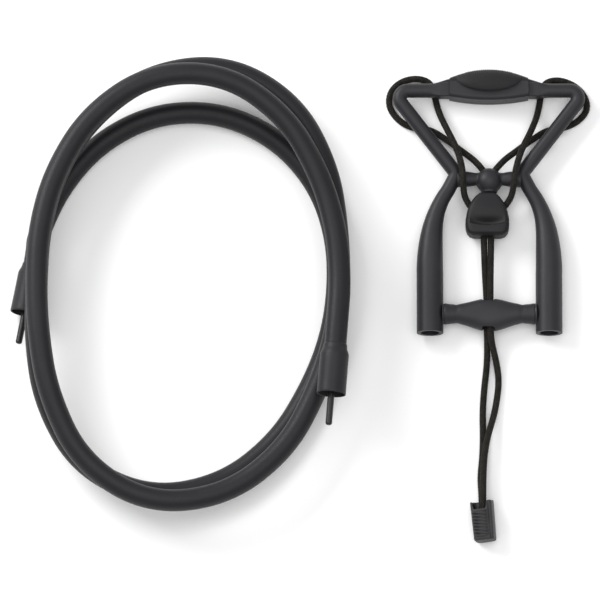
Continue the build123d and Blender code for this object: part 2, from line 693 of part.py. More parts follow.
def make_coil():
    """The coiled hoop rod as one closed ring of its outer shape."""
    middle = Plane.XY.shift_origin(at(COIL_CENTRE[0], COIL_CENTRE[1], 0))
    with BuildPart() as coil:
        with BuildSketch(middle):
            oval(COIL_SIDE + HOSE_RADIUS, COIL_TOP + HOSE_RADIUS, COIL_BOTTOM + HOSE_RADIUS)
        extrude(amount=COIL_HEIGHT)
        with BuildSketch(middle):
            oval(
                COIL_SIDE - HOSE_RADIUS,
                COIL_INNER_TOP - HOSE_RADIUS,
                COIL_INNER_BOTTOM - HOSE_RADIUS,
            )
        extrude(amount=COIL_HEIGHT, mode=Mode.SUBTRACT)
        for back, mouth in (
            (RIGHT_CUFF_BACK, RIGHT_CUFF_MOUTH),
            (LEFT_CUFF_BACK, LEFT_CUFF_MOUTH),
        ):
            with BuildSketch(cuff_plane(back, mouth, 0)):
                Circle(CUFF_RADIUS + 0.4)
            extrude(amount=CUFF_LENGTH + CORE_STICK_OUT + 4.0, mode=Mode.SUBTRACT)
    finish(coil, "hoop_coil")


def make_cuff(back, mouth, name):
    """Thin open cuff at a hoop end, closed behind by its shoulder."""
    with BuildPart() as cuff:
        with BuildSketch(cuff_plane(back, mouth, 0)):
            Circle(HOSE_RADIUS + 0.4)
        with BuildSketch(cuff_plane(back, mouth, CUFF_SHOULDER)):
            Circle(CUFF_RADIUS)
        loft()
        with BuildSketch(cuff_plane(back, mouth, CUFF_SHOULDER)):
            Circle(CUFF_RADIUS)
        extrude(amount=CUFF_LENGTH - CUFF_SHOULDER)
        with BuildSketch(cuff_plane(back, mouth, CUFF_LENGTH)):
            Circle(CUFF_BORE)
        extrude(amount=-CUFF_DEPTH, mode=Mode.SUBTRACT)
        with BuildSketch(cuff_plane(back, mouth, 0)):
            Circle(CORE_RADIUS)
        extrude(amount=CUFF_LENGTH, mode=Mode.SUBTRACT)
    finish(cuff, name)


def make_core(back, mouth, name):
    """End of the hoop's core rod, which plugs into a leg."""
    with BuildPart() as core:
        with BuildSketch(cuff_plane(back, mouth, 0)):
            Circle(CORE_RADIUS)
        extrude(amount=CUFF_LENGTH + CORE_STICK_OUT)
        tip = core.edges().filter_by(GeomType.CIRCLE).sort_by_distance(Vector(*at(*back)))[-1]
        fillet(tip, 1.4)
    finish(core, name)


def make_ball_turn():
    """The cord's bend inside the waist bridge's ball."""
    turn = [at(*point) for point in BALL_TURN]
    with BuildPart() as bend:
        with BuildLine() as path:
            FilletPolyline(*turn, radius=SMALLEST_BEND)
        with BuildSketch(Plane(path.line @ 0, z_dir=path.line % 0)):
            Circle(CORD_RADIUS)
        sweep(path=path.line)
    finish(bend, "cord_turn")


# ---- build --------------------------------------------------------------
os.makedirs("parts", exist_ok=True)

left_rail = make_rail(-1, "left_rail")
right_rail = make_rail(1, "right_rail")
make_bush(-1, "left_bush")
make_bush(1, "right_bush")
make_cradle()
make_pad()
make_seam_pins()
make_pad_screws()
make_waist_bridge((left_rail, right_rail))
make_lower_bridge((left_rail, right_rail))

make_lock_base()
make_lock_lever()
make_lock_pin()
make_lock_spring()

for cord_name, cord_route in (
    ("cord_corner_left", LEFT_CORNER),
    ("cord_corner_right", RIGHT_CORNER),
    ("cord_strand_left", LEFT_STRAND),
    ("cord_strand_right", RIGHT_STRAND),
    ("cord_tail_left", LEFT_TAIL),
    ("cord_tail_right", RIGHT_TAIL),
):
    finish(tube(cord_route, CORD_RADIUS, cord_name), cord_name)

make_ball_turn()
make_tab_half(True, "tab_front")
make_tab_half(False, "tab_back")
make_knot()

make_coil()
make_cuff(RIGHT_CUFF_BACK, RIGHT_CUFF_MOUTH, "hoop_cuff_right")
make_cuff(LEFT_CUFF_BACK, LEFT_CUFF_MOUTH, "hoop_cuff_left")
make_core(RIGHT_CUFF_BACK, RIGHT_CUFF_MOUTH, "hoop_core_right")
make_core(LEFT_CUFF_BACK, LEFT_CUFF_MOUTH, "hoop_core_left")
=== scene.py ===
"""Looks of the bicycle antenna kit: a yoke with shock cord, and a coiled hoop rod."""

import math

import bmesh
import bpy
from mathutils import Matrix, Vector


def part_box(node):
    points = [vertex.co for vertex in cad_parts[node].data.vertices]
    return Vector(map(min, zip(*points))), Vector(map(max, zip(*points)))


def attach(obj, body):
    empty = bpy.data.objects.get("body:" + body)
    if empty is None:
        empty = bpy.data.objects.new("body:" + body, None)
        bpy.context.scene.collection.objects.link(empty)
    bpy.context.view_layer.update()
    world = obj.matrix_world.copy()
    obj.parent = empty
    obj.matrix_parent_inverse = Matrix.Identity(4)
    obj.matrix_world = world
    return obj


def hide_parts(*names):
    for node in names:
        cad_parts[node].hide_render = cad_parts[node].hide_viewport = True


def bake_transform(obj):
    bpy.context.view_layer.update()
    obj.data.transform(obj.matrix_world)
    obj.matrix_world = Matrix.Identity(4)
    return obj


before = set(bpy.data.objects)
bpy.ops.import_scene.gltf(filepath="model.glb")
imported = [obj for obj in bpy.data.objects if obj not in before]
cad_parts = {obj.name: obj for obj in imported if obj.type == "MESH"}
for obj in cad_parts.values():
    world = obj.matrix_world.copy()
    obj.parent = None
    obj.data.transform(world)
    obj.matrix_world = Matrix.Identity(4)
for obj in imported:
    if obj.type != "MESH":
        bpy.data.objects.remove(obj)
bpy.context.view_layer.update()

MM = 0.001

# ---- places taken from the frame -----------------------------------------
MOUTH_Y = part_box("left_rail")[0][1]            # the plane of the leg mouths


def at(x, up, z):
    """A point in metres, from millimetres: across, above the leg mouths, above the floor."""
    return Vector((x * MM, MOUTH_Y + up * MM, z * MM))


# ---- dimensions shared with the frame, in millimetres ---------------------
TUBE_Z = 8.6                                   # height of the waist's bridge
LEG_Z = 8.0                                    # height of the legs' middles
LOCK_X = -1.2
LOCK_SPLIT = 9.8                               # height of the plane between the lock's halves
LOCK_BOTTOM = 58.6
HINGE_UP = 82.3
HINGE_Z = 12.0
BAR_UP = 149.5
WAIST_UP = 94.7
LOWER_UP = 11.7

CORD_D = 4.0
HOSE_D = 13.2
CUFF_LENGTH = 29.0
CUFF_DEPTH = 20.0
CUFF_RADIUS = 8.75
CUFF_BORE = 8.1
# Each cuff's end on the rod, then its mouth.
RIGHT_CUFF = (Vector((-92.7, -15.6, 39.2)), Vector((-95.1, -44.6, 39.2)))
LEFT_CUFF = (Vector((-273.4, 40.3, 8.75)), Vector((-278.9, 11.8, 8.75)))

# ---- shock cord routes: across, above the leg mouths, above the floor ----
CORNER_LEFT = [
    (-32.7, 148.5, 2.0), (-34.1, 155.5, 2.0), (-42.2, 159.0, 2.0),
    (-52.2, 157.2, 2.0), (-59.4, 150.6, 2.0), (-60.4, 141.2, 2.0),
    (-54.9, 132.9, 2.0), (-46.6, 127.8, 2.0), (-35.6, 127.2, 2.0),
    (-26.0, 121.0, 2.6), (-16.6, 112.9, 5.6), (-8.07, 105.85, 8.6),
    (-4.4, 101.1, 8.6),
]
CORNER_RIGHT = [
    (31.4, 148.5, 2.0), (32.4, 155.2, 2.0), (40.8, 158.2, 2.0),
    (51.0, 155.0, 2.0), (58.0, 148.0, 2.0), (59.8, 139.4, 2.0),
    (54.3, 132.2, 2.0), (45.5, 127.8, 2.0), (35.4, 126.9, 2.0),
    (26.0, 120.6, 2.6), (16.6, 112.8, 5.6), (8.07, 105.85, 8.6),
    (4.4, 101.1, 8.6),
]
BALL_TURN = [(-4.4, 101.1, 8.6), (0.0, 95.4, 8.6), (4.4, 101.1, 8.6)]
STRAND_LEFT = [
    (-32.7, 148.5, 2.0), (-30.8, 139.0, 2.0), (-25.9, 126.6, 9.0),
    (-19.8, 113.6, 13.4), (-16.2, 101.0, 15.2), (-15.6, 90.6, 15.0),
    (-15.1, 83.2, 11.6), (-11.0, 76.8, LOCK_SPLIT),
    (-5.4, 69.0, LOCK_SPLIT), (-3.3, 63.4, LOCK_SPLIT),
    (-3.3, LOCK_BOTTOM, LOCK_SPLIT),
]
STRAND_RIGHT = [
    (31.4, 148.5, 2.0), (30.2, 138.2, 2.0), (25.5, 124.6, 9.0),
    (19.5, 112.0, 13.4), (16.1, 100.6, 15.2), (14.8, 90.2, 15.0),
    (13.4, 82.8, 11.6), (8.6, 76.6, LOCK_SPLIT),
    (3.0, 69.0, LOCK_SPLIT), (1.0, 63.4, LOCK_SPLIT),
    (1.0, LOCK_BOTTOM, LOCK_SPLIT),
]
TAIL_LEFT = [
    (-3.3, LOCK_BOTTOM, LOCK_SPLIT), (-3.1, 48.6, LOCK_SPLIT), (-2.6, 36.0, 7.6),
    (-1.7, 21.0, 6.2), (-1.7, 6.0, 6.0), (-1.3, -6.0, 4.6),
    (-1.6, -19.0, 2.0), (-3.3, -33.0, 2.0), (-4.3, -48.0, 2.0),
    (-4.0, -62.0, 2.0), (-4.4, -75.0, 2.2), (-5.7, -87.0, 3.2),
    (-5.2, -97.0, 4.5), (-4.7, -108.8, 4.75),
]
TAIL_RIGHT = [
    (1.0, LOCK_BOTTOM, LOCK_SPLIT), (0.9, 48.6, LOCK_SPLIT), (0.6, 36.0, 10.2),
    (0.5, 21.0, 10.4), (0.4, 6.0, 10.2), (0.9, -5.0, 8.4),
    (3.9, -16.0, 3.6), (5.7, -28.0, 2.0), (4.2, -41.0, 2.0),
    (1.9, -52.0, 3.4), (-1.1, -62.0, 6.0), (-3.3, -74.0, 6.8),
    (-4.0, -86.0, 7.6), (-4.2, -97.0, 8.6), (-4.2, -108.8, 8.8),
]

# ---- hoop rod ------------------------------------------------------------
COIL_CENTRE = (-180.9, 26.8)
# Distance from the coil's middle every 20 degrees, from the right and anticlockwise, turn by turn.
COIL_RADII = [
    90.1, 92.9, 100.8, 114.7, 126.4, 126.4, 115.2, 102.2, 93.2,
    89.3, 93.7, 107.1, 126.2, 136.3, 130.7, 116.0, 100.0, 92.5,
    89.8, 94.4, 108.6, 126.2, 135.5, 129.8, 116.5, 103.0, 93.3,
    89.2, 95.9, 110.5, 126.2, 129.6, 120.6, 106.5, 94.2, 89.4,
    88.8, 93.4, 100.4, 106.2, 109.8, 109.1, 104.4, 98.6, 95.0,
]
COIL_STEP = 20
COIL_LEVELS = [37.2, 23.8, 6.8]                # height of each turn's upper half
COIL_DROP_START = 180                          # where a turn starts to come down, in degrees
COIL_DROP_ANGLE = 150

VIEW_MIDDLE = (-113.7, 20.3)                   # the middle of the picture


# ---- small tools ---------------------------------------------------------
def smoothstep(value):
    value = min(max(value, 0.0), 1.0)
    return value * value * (3 - 2 * value)


def hump(value, middle, width):
    """A bell curve with a height of 1."""
    return math.exp(-(((value - middle) / width) ** 2))


def window(value, low, high, rise, fall):
    """1 between two places and 0 outside them, with a smooth edge inside each."""
    return smoothstep((value - low) / rise) * smoothstep((high - value) / fall)


def add_mesh(name, points, faces, look):
    """A new smooth mesh object from points in metres."""
    mesh = bpy.data.meshes.new(name)
    mesh.from_pydata([tuple(point) for point in points], [], faces)
    mesh.validate()
    made = bpy.data.objects.new(name, mesh)
    bpy.context.collection.objects.link(made)
    mesh.materials.append(look)
    for face in mesh.polygons:
        face.use_smooth = True
    return made


def loft(rings, cap_start=True, cap_end=True):
    """Points and faces of a skin over rings that all have the same number of points."""
    count = len(rings[0])
    points = [point for ring in rings for point in ring]
    faces = []
    for row in range(len(rings) - 1):
        for column in range(count):
            after = (column + 1) % count
            faces.append(
                (
                    row * count + column,
                    row * count + after,
                    (row + 1) * count + after,
                    (row + 1) * count + column,
                )
            )
    if cap_start:
        faces.append(tuple(reversed(range(count))))
    if cap_end:
        last = (len(rings) - 1) * count
        faces.append(tuple(range(last, last + count)))
    return points, faces


def circle(centre, side, up, radius, around):
    """Points round a centre, in the plane of two directions; the radius is in millimetres."""
    points = []
    for column in range(around):
        turn = 2 * math.pi * column / around
        points.append(centre + (side * math.cos(turn) + up * math.sin(turn)) * radius * MM)
    return points


def lathe_rings(start, way, profile, around):
    """Rings of a round solid, from distances along a line and radii, in millimetres."""
    side = way.orthogonal().normalized()
    up = way.cross(side)
    return [
        circle(start + way * along * MM, side, up, radius, around) for along, radius in profile
    ]


def fix_normals(made):
    """Makes every face of a closed mesh point outwards."""
    work = bmesh.new()
    work.from_mesh(made.data)
    bmesh.ops.recalc_face_normals(work, faces=work.faces)
    work.to_mesh(made.data)
    work.free()


def nurbs_object(name, points):
    """An open NURBS curve of order 3 that starts and ends at its end points."""
    curve = bpy.data.curves.new(name, "CURVE")
    curve.dimensions = "3D"
    spline = curve.splines.new("NURBS")
    spline.points.add(len(points) - 1)
    for slot, point in zip(spline.points, points):
        slot.co = (*point, 1.0)
    spline.order_u = 3
    spline.use_endpoint_u = True
    curve.resolution_u = 12
    made = bpy.data.objects.new(name, curve)
    bpy.context.collection.objects.link(made)
    return made


def nurbs_line(points):
    """The points that the smooth curve of a route passes through."""
    made = nurbs_object("route", points)
    bpy.context.view_layer.update()
    graph = bpy.context.evaluated_depsgraph_get()
    mesh = bpy.data.meshes.new_from_object(made.evaluated_get(graph))
    line = [vertex.co.copy() for vertex in mesh.vertices]
    bpy.data.meshes.remove(mesh)
    bpy.data.objects.remove(made)
    return line


def line_length(line):
    return sum((b - a).length for a, b in zip(line, line[1:]))


def evenly(line, step):
    """Points along a line, the given distance apart."""
    total = line_length(line)
    count = max(2, round(total / step))
    out, walked, index = [line[0].copy()], 0.0, 0
    for number in range(1, count):
        target = total * number / count
        while walked + (line[index + 1] - line[index]).length < target:
            walked += (line[index + 1] - line[index]).length
            index += 1
        run = line[index + 1] - line[index]
        out.append(line[index] + run * ((target - walked) / run.length))
    out.append(line[-1].copy())
    return out


def frames_along(line):
    """A direction and two side directions at each point, without twist."""
    ways = []
    for index in range(len(line)):
        before = line[max(index - 1, 0)]
        after = line[min(index + 1, len(line) - 1)]
        ways.append((after - before).normalized())
    side = ways[0].orthogonal().normalized()
    out = []
    for index, way in enumerate(ways):
        if index:
            side = ways[index - 1].rotation_difference(way) @ side
        side = (side - way * side.dot(way)).normalized()
        out.append((way, side, way.cross(side)))
    return out


# ---- materials -----------------------------------------------------------
def new_material(name):
    made = bpy.data.materials.new(name)
    made.use_nodes = True
    return made, made.node_tree, made.node_tree.nodes["Principled BSDF"]


def set_inputs(node, values):
    for name, value in values.items():
        node.inputs[name].default_value = value


def object_place(tree):
    """Texture coordinates that stay with the object."""
    return tree.nodes.new("ShaderNodeTexCoord").outputs["Object"]


def add_node(tree, kind, **values):
    node = tree.nodes.new(kind)
    for key, value in values.items():
        if hasattr(node, key):
            setattr(node, key, value)
        else:
            node.inputs[key.replace("_", " ")].default_value = value
    return node


def colour_ramp(tree, source, stops):
    ramp = tree.nodes.new("ShaderNodeValToRGB")
    elements = ramp.color_ramp.elements
    while len(elements) < len(stops):
        elements.new(0.5)
    for element, (place, colour) in zip(elements, stops):
        element.position = place
        element.color = (*colour, 1)
    tree.links.new(source, ramp.inputs["Fac"])
    return ramp.outputs["Color"]


def noise(tree, where, scale, detail=4.0, roughness=0.55):
    node = add_node(tree, "ShaderNodeTexNoise", Scale=scale, Detail=detail, Roughness=roughness)
    tree.links.new(where, node.inputs["Vector"])
    return node.outputs["Fac"]


def map_range(tree, source, low, high, to_low, to_high):
    node = tree.nodes.new("ShaderNodeMapRange")
    set_inputs(node, {"From Min": low, "From Max": high, "To Min": to_low, "To Max": to_high})
    tree.links.new(source, node.inputs["Value"])
    return node.outputs["Result"]


def add_bump(tree, shader, heights):
    """Stacks bumps, each a height source and its depth in metres."""
    normal = None
    for source, depth in heights:
        bump = add_node(tree, "ShaderNodeBump", Strength=1.0, Distance=depth)
        tree.links.new(source, bump.inputs["Height"])
        if normal is not None:
            tree.links.new(normal, bump.inputs["Normal"])
        normal = bump.outputs["Normal"]
    tree.links.new(normal, shader.inputs["Normal"])


MOTTLE_SCALE = 45.0                            # broad patches on every moulded look
MOTTLE_RANGE = (0.32, 0.68)                    # where they turn from dark to light


def moulded(name, dark, light, rough, grain, depth, sheen=0.0, gloss=0.35):
    """Dull moulded plastic or rubber: fine grain, faint mottling, uneven sheen."""
    made, tree, shader = new_material(name)
    where = object_place(tree)
    broad = noise(tree, where, MOTTLE_SCALE, 5.0)
    fine = noise(tree, where, grain, 2.0)
    specks = noise(tree, where, grain * 0.45, 3.0, 0.7)
    colour = colour_ramp(tree, broad, [(MOTTLE_RANGE[0], dark), (MOTTLE_RANGE[1], light)])
    tree.links.new(colour, shader.inputs["Base Color"])
    roughness = map_range(tree, specks, 0.3, 0.7, *rough)
    tree.links.new(roughness, shader.inputs["Roughness"])
    add_bump(tree, shader, [(broad, depth * 1.5), (fine, depth)])
    set_inputs(shader, {"Specular IOR Level": gloss})
    if sheen:
        set_inputs(shader, {"Sheen Weight": sheen, "Sheen Roughness": 0.45})
    return made


def braid_look():
    """Braided cord sheath: black yarn with a brown-olive cast, and painted shade in the gaps
    between the picks so that each crown reads lighter.
    """
    made, tree, shader = new_material("cord_braid")
    where = object_place(tree)
    crown = add_node(tree, "ShaderNodeAttribute", attribute_name="crown").outputs["Fac"]
    fibres = noise(tree, where, 5200.0, 2.0)
    cast = noise(tree, where, 620.0, 3.0)
    black, olive = (0.0075, 0.0070, 0.0062), (0.0400, 0.0335, 0.0235)
    yarn = colour_ramp(tree, cast, [(0.36, black), (0.64, olive)])
    # Painted shade: a near-black colour in the gaps between the picks, fading to the yarn colour
    # towards each crown.
    painted_gap_shade = add_node(tree, "ShaderNodeMix", data_type="RGBA")
    painted_gap_shade.inputs["A"].default_value = (0.002, 0.002, 0.002, 1)
    tree.links.new(map_range(tree, crown, 0.3, 0.95, 0.0, 1.0), painted_gap_shade.inputs["Factor"])
    tree.links.new(yarn, painted_gap_shade.inputs["B"])
    tree.links.new(painted_gap_shade.outputs["Result"], shader.inputs["Base Color"])
    roughness = map_range(tree, fibres, 0.3, 0.7, 0.62, 0.85)
    tree.links.new(roughness, shader.inputs["Roughness"])
    add_bump(tree, shader, [(fibres, 0.00004)])
    set_inputs(
        shader, {"Specular IOR Level": 0.15, "Sheen Weight": 0.04, "Sheen Roughness": 0.5}
    )
    return made


def steel_look():
    """Plain steel with fine scratches."""
    made, tree, shader = new_material("steel")
    scratches = noise(tree, object_place(tree), 900.0, 6.0)
    colour = colour_ramp(tree, scratches, [(0.3, (0.42, 0.43, 0.45)), (0.7, (0.58, 0.59, 0.6))])
    tree.links.new(colour, shader.inputs["Base Color"])
    roughness = map_range(tree, scratches, 0.3, 0.7, 0.25, 0.45)
    tree.links.new(roughness, shader.inputs["Roughness"])
    set_inputs(shader, {"Metallic": 1.0})
    return made


NYLON = moulded(
    "moulded_nylon", dark=(0.0122, 0.0122, 0.0155), light=(0.0168, 0.0163, 0.0202),
    rough=(0.42, 0.56), grain=2600.0, depth=0.00002, gloss=0.33,
)
LOCK = moulded(
    "lock_plastic", dark=(0.0064, 0.0062, 0.0075), light=(0.0095, 0.0092, 0.0107),
    rough=(0.50, 0.64), grain=3000.0, depth=0.00003, gloss=0.3,
)
PAD = moulded(
    "pad_rubber", dark=(0.0062, 0.0062, 0.0072), light=(0.0112, 0.0112, 0.0124),
    rough=(0.55, 0.75), grain=3400.0, depth=0.00005, sheen=0.04, gloss=0.28,
)
BUSH = moulded(
    "bush_plastic", dark=(0.006, 0.005, 0.005), light=(0.009, 0.008, 0.008),
    rough=(0.35, 0.5), grain=1500.0, depth=0.00001,
)
TAB = moulded(
    "tab_plastic", dark=(0.018, 0.018, 0.0195), light=(0.029, 0.028, 0.031),
    rough=(0.42, 0.6), grain=2200.0, depth=0.00003,
)
HOSE = moulded(
    "hose_rubber", dark=(0.0050, 0.0046, 0.0068), light=(0.0076, 0.0070, 0.0094),
    rough=(0.44, 0.58), grain=1800.0, depth=0.000025, sheen=0.02, gloss=0.3,
)
CUFF = moulded(
    "cuff_rubber", dark=(0.0085, 0.0082, 0.0102), light=(0.0120, 0.0115, 0.0138),
    rough=(0.44, 0.58), grain=2200.0, depth=0.000025, sheen=0.02, gloss=0.3,
)
CORE = moulded(
    "core_rod", dark=(0.0070, 0.0070, 0.0085), light=(0.0110, 0.0110, 0.0125),
    rough=(0.28, 0.42), grain=1200.0, depth=0.00001,
)
BRAID = braid_look()
STEEL = steel_look()


def dress(node, look):
    """Gives a CAD node that stays a material."""
    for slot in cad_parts[node].material_slots:
        slot.material = look


# ---- camera, light and floor ---------------------------------------------
def make_camera():
    """Looks steeply down, from a little in front of the object."""
    elevation = math.radians(77)
    distance = 8.0
    view_width = 0.36
    target = at(*VIEW_MIDDLE, 8.0)
    away = Vector((0, -math.cos(elevation), math.sin(elevation)))
    data = bpy.data.cameras.new("camera")
    data.sensor_width = 36.0
    data.lens = data.sensor_width * distance / view_width
    made = bpy.data.objects.new("camera", data)
    bpy.context.collection.objects.link(made)
    made.location = target + away * distance
    made.rotation_euler = (-away).to_track_quat("-Z", "Y").to_euler()
    bpy.context.scene.camera = made
    bpy.context.scene.view_settings.view_transform = "Standard"


def make_light(name, place, target, size, power):
    data = bpy.data.lights.new(name, "AREA")
    data.shape = "RECTANGLE"
    data.size, data.size_y = size
    data.energy = power
    made = bpy.data.objects.new(name, data)
    bpy.context.collection.objects.link(made)
    made.location = place
    made.rotation_euler = (Vector(target) - Vector(place)).to_track_quat("-Z", "Y").to_euler()


def make_studio():
    """A white room: an even background, two soft lights and a paper floor."""
    world = bpy.data.worlds.new("studio")
    world.use_nodes = True
    background = world.node_tree.nodes["Background"]
    set_inputs(background, {"Color": (1.0, 1.0, 1.0, 1), "Strength": 0.70})
    bpy.context.scene.world = world
    middle = at(*VIEW_MIDDLE, 0)
    make_light("key", middle + Vector((-0.95, 0.75, 0.85)), middle, (0.9, 0.6), 18.0)
    make_light("top", middle + Vector((0.1, -0.2, 1.5)), middle, (1.3, 1.3), 9.0)
    bpy.ops.mesh.primitive_plane_add(size=6.0, location=(0, 0, 0))
    floor = bpy.context.object
    floor.name = "floor"
    look, tree, shader = new_material("floor")
    paper = noise(tree, object_place(tree), 900.0, 2.0)
    colour = colour_ramp(tree, paper, [(0.0, (0.94, 0.94, 0.94)), (1.0, (0.96, 0.96, 0.96))])
    tree.links.new(colour, shader.inputs["Base Color"])
    set_inputs(shader, {"Roughness": 0.9})
    floor.data.materials.append(look)


# ---- cords ---------------------------------------------------------------
PICKS = 8                                      # diamonds of the braid round the cord
PICK_STRETCH = 1.25                            # a diamond's length over its width
PICK_RELIEF = 0.16 * MM
PICK_ROUND = 0.6                               # below 1 makes the crowns broad
BRAID_STEP = 0.24 * MM                         # between the rings of the surface
BRAID_AROUND = 40


def braided_tube(name, route):
    """A round cord whose surface has the diamonds of its braid, and the line that it follows."""
    line = nurbs_line([at(*point) for point in route])
    radius = CORD_D / 2 * MM
    spaced = evenly(line, BRAID_STEP)
    pitch = 2 * math.pi * radius / PICKS * PICK_STRETCH
    rings, crowns = [], []
    walked = 0.0
    for index, (centre, (_, side, up)) in enumerate(zip(spaced, frames_along(spaced))):
        if index:
            walked += (centre - spaced[index - 1]).length
        twist = math.pi * walked / pitch
        ring = []
        for column in range(BRAID_AROUND):
            turn = 2 * math.pi * column / BRAID_AROUND
            yarn = PICKS * turn / 2
            crown = abs(math.cos(yarn + twist) * math.cos(yarn - twist)) ** PICK_ROUND
            crowns.append(crown)
            reach = radius - PICK_RELIEF * (1 - crown)
            ring.append(centre + (side * math.cos(turn) + up * math.sin(turn)) * reach)
        rings.append(ring)
    points, faces = loft(rings)
    made = add_mesh(name, points, faces, BRAID)
    values = made.data.attributes.new("crown", "FLOAT", "POINT")
    values.data.foreach_set("value", crowns)
    fix_normals(made)
    return made, line


def make_cords():
    for side, route in (("left", CORNER_LEFT), ("right", CORNER_RIGHT)):
        cord, line = braided_tube(f"shock_cord_corner_{side}", route)
        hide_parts(f"cord_corner_{side}")
        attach(cord, "yoke")
    for side, route in (("left", STRAND_LEFT), ("right", STRAND_RIGHT)):
        cord, line = braided_tube(f"shock_cord_strand_{side}", route)
        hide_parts(f"cord_strand_{side}")
        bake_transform(cord)


def make_tails(cord_end):
    for side, route in (("left", TAIL_LEFT), ("right", TAIL_RIGHT)):
        cord, line = braided_tube(f"shock_cord_tail_{side}", route)
        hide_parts(f"cord_tail_{side}")
        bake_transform(cord)


def make_turn():
    """The bend inside the waist ball."""
    cord, _ = braided_tube("shock_cord_turn", BALL_TURN)
    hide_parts("cord_turn")
    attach(cord, "yoke")


# ---- hoop ----------------------------------------------------------------
CUFF_GRIP = 8.5                                # how far the rod goes into a cuff
RUN_IN_RIGHT = 13.0                            # the rod's straight run to each cuff
RUN_IN_LEFT = 9.0
CUFF_LIP = 0.62                                # the cuff's thickness at its lip
CUFF_SHOULDER = 5.2
CORE_HOLE = 2.02
CUFF_AROUND = 72


def coil_height(angle):
    """Each turn stays level over its top half and comes down along the bottom."""
    turn, rest = divmod(angle, 360)
    if turn >= len(COIL_LEVELS) - 1:
        return COIL_LEVELS[-1]
    drop = COIL_LEVELS[turn] - COIL_LEVELS[turn + 1]
    return COIL_LEVELS[turn] - drop * smoothstep((rest - COIL_DROP_START) / COIL_DROP_ANGLE)


def hoop_route():
    """Control points of the rod from inside the right cuff, round 2.5 turns, into the left cuff."""
    start, mouth = RIGHT_CUFF
    way = (mouth - start).normalized()
    points = [start + way * CUFF_GRIP, start - way * RUN_IN_RIGHT]
    # The curve runs inside its control points, so they lie a little further out.
    outward = 1 / (0.75 + 0.25 * math.cos(math.radians(COIL_STEP)))
    for number, radius in enumerate(COIL_RADII):
        angle = number * COIL_STEP
        turn = math.radians(angle)
        x = COIL_CENTRE[0] + radius * math.cos(turn) * outward
        up = COIL_CENTRE[1] + radius * math.sin(turn) * outward
        points.append(Vector((x, up, coil_height(angle))))
    end, mouth = LEFT_CUFF
    way = (mouth - end).normalized()
    points += [end - way * RUN_IN_LEFT, end + way * CUFF_GRIP]
    return [at(*point) for point in points]


def cuff_profile():
    """Distances from a cuff's end on the rod and radii: outside, mouth, then back inside."""
    hose = HOSE_D / 2
    lip = hose + CUFF_LIP
    profile = [(-1.6, hose - 0.1), (-1.6, hose + 0.35), (-1.2, hose + 0.5), (0.0, lip)]
    for number in range(1, 9):
        share = number / 8
        swell = (CUFF_RADIUS - 0.1 - lip) * smoothstep(share)
        profile.append((CUFF_SHOULDER * share, lip + swell))
    insets = [(12.0, 0.12), (20.0, 0.08), (26.0, 0.04), (27.6, 0.0), (28.6, 0.0)]
    insets += [(28.92, 0.12), (CUFF_LENGTH, 0.3)]
    profile += [(along, CUFF_RADIUS - inset) for along, inset in insets]
    bottom = CUFF_LENGTH - CUFF_DEPTH
    profile += [(28.92, CUFF_BORE + 0.12), (28.5, CUFF_BORE)]
    profile += [(bottom + 0.5, CUFF_BORE), (bottom, CUFF_BORE - 0.5)]
    profile += [(bottom, CORE_HOLE), (-1.0, CORE_HOLE)]
    return profile


def make_cuff(name, node, cuff):
    """A moulded cuff: thin lip on the rod, smooth shoulder, open mouth with a rounded rim."""
    start, mouth = at(*cuff[0]), at(*cuff[1])
    rings = lathe_rings(start, (mouth - start).normalized(), cuff_profile(), CUFF_AROUND)
    rings.append(rings[0])
    points, faces = loft(rings, False, False)
    made = add_mesh(name, points, faces, CUFF)
    fix_normals(made)
    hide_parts(node)
    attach(made, "hoop")
    return made


def make_hoop():
    """The coiled rod, its two cuffs and the core rods inside them."""
    route = hoop_route()
    rod = nurbs_object("hoop_rod", route)
    rod.data.bevel_depth = HOSE_D / 2 * MM
    rod.data.bevel_resolution = 10
    rod.data.use_fill_caps = True
    rod.data.materials.append(HOSE)
    line = nurbs_line(route)
    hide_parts("hoop_coil")
    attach(rod, "hoop")
    cuffs = [
        make_cuff("cuff_right", "hoop_cuff_right", RIGHT_CUFF),
        make_cuff("cuff_left", "hoop_cuff_left", LEFT_CUFF),
    ]
    core_names = ("hoop_core_right", "hoop_core_left")
    for name in core_names:
        dress(name, CORE)


# ---- tools for solid shapes ----------------------------------------------
LATHE_AROUND = 48
VOXEL = 0.4 * MM
RELAX_STEPS = 8


def smooth_union(name, parts, look):
    """Joins closed meshes into one skin with soft fillets where they meet."""
    work = bmesh.new()
    for points, faces in parts:
        made = [work.verts.new(point) for point in points]
        for face in faces:
            work.faces.new([made[index] for index in face])
    bmesh.ops.recalc_face_normals(work, faces=work.faces)
    mesh = bpy.data.meshes.new(name)
    work.to_mesh(mesh)
    work.free()
    made = bpy.data.objects.new(name, mesh)
    bpy.context.collection.objects.link(made)
    remesh = made.modifiers.new("remesh", "REMESH")
    remesh.mode = "VOXEL"
    remesh.voxel_size = VOXEL
    remesh.use_smooth_shade = True
    relax = made.modifiers.new("relax", "SMOOTH")
    relax.factor = 0.5
    relax.iterations = RELAX_STEPS
    keep_modifiers(made)
    made.data.materials.append(look)
    return made


def keep_modifiers(made):
    """Turns an object's modifiers into plain mesh."""
    bpy.context.view_layer.update()
    graph = bpy.context.evaluated_depsgraph_get()
    mesh = bpy.data.meshes.new_from_object(made.evaluated_get(graph))
    made.modifiers.clear()
    old = made.data
    made.data = mesh
    bpy.data.meshes.remove(old)


def lathe(start, way, profile):
    """A closed round solid from distances along a line and radii, in millimetres."""
    return loft(lathe_rings(start, way, profile, LATHE_AROUND))


def ball(centre, radius):
    """A sphere, turned about X; a very small radius at its poles keeps the points apart."""
    steps = 24
    profile = []
    for number in range(steps + 1):
        turn = math.pi * number / steps
        profile.append((-radius * math.cos(turn), max(radius * math.sin(turn), 0.02)))
    return lathe(centre, Vector((1, 0, 0)), profile)


